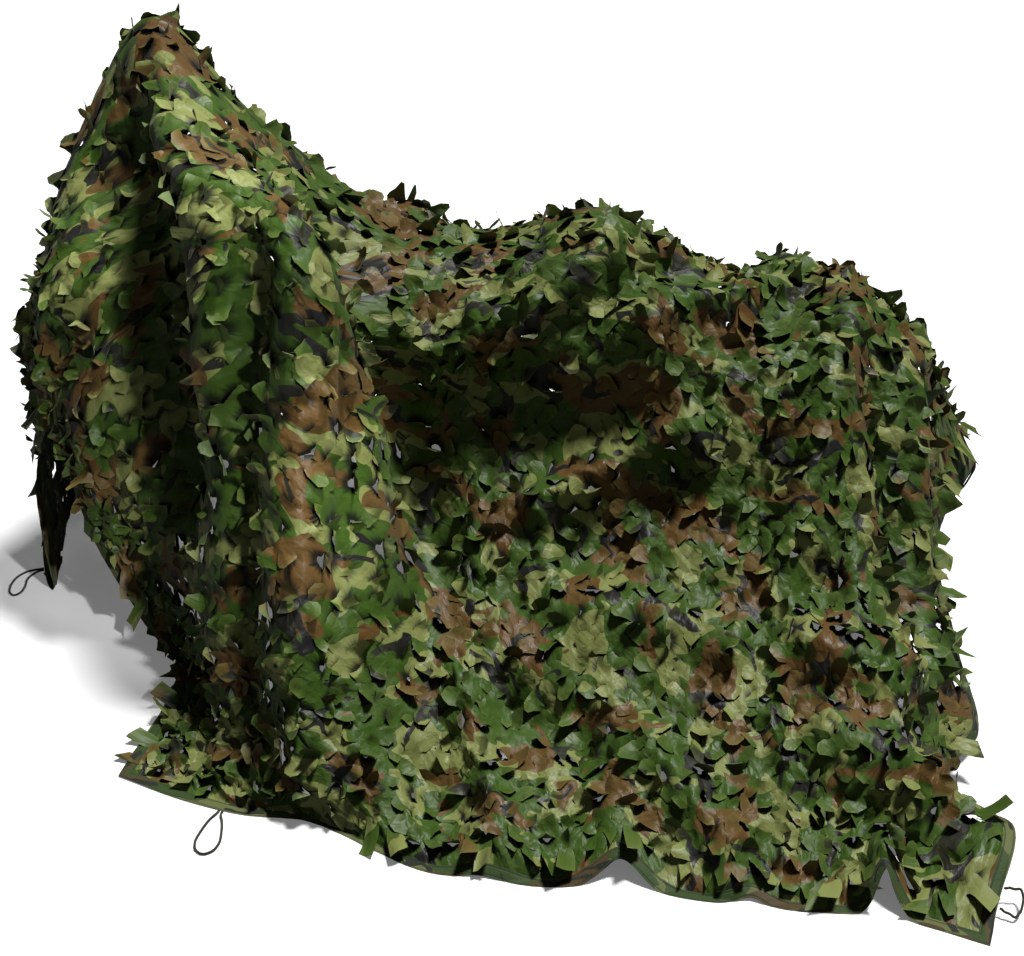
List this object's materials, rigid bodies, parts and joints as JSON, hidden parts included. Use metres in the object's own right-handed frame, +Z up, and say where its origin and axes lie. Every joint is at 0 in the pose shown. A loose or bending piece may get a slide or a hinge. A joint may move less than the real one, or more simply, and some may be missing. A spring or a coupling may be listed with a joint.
{
  "type": "camouflage net cover",
  "caption": "Leaf-cut camouflage net draped as a hollow cover over a motorcycle shape, with bound edges and cord tie loops.",
  "frame": {"origin": "on the floor, under the middle of the draped net without its tie loops", "axes": "-X towards the front end of the covered vehicle, -Y towards its side-stand side, which faces the viewer, +Z up"},
  "size_m": [2.249, 2.2817, 1.2732],
  "materials": {
    "leaf_cloth": "woodland print in green, khaki, brown and charcoal on thin coated cloth",
    "binding_cloth": "the same printed cloth, folded and stitched",
    "olive_cord": "braided dark olive cord"
  },
  "bodies": {
    "root": {"net": "leaf_cloth", "binding_near": "binding_cloth", "binding_far": "binding_cloth", "binding_front": "binding_cloth", "binding_rear": "binding_cloth", "tie_loop_near_front": "olive_cord", "tie_loop_near_rear": "olive_cord", "tie_loop_rear": "olive_cord", "tie_loop_front": "olive_cord", "tie_loop_far_rear": "olive_cord"}
  },
  "joints": []
}
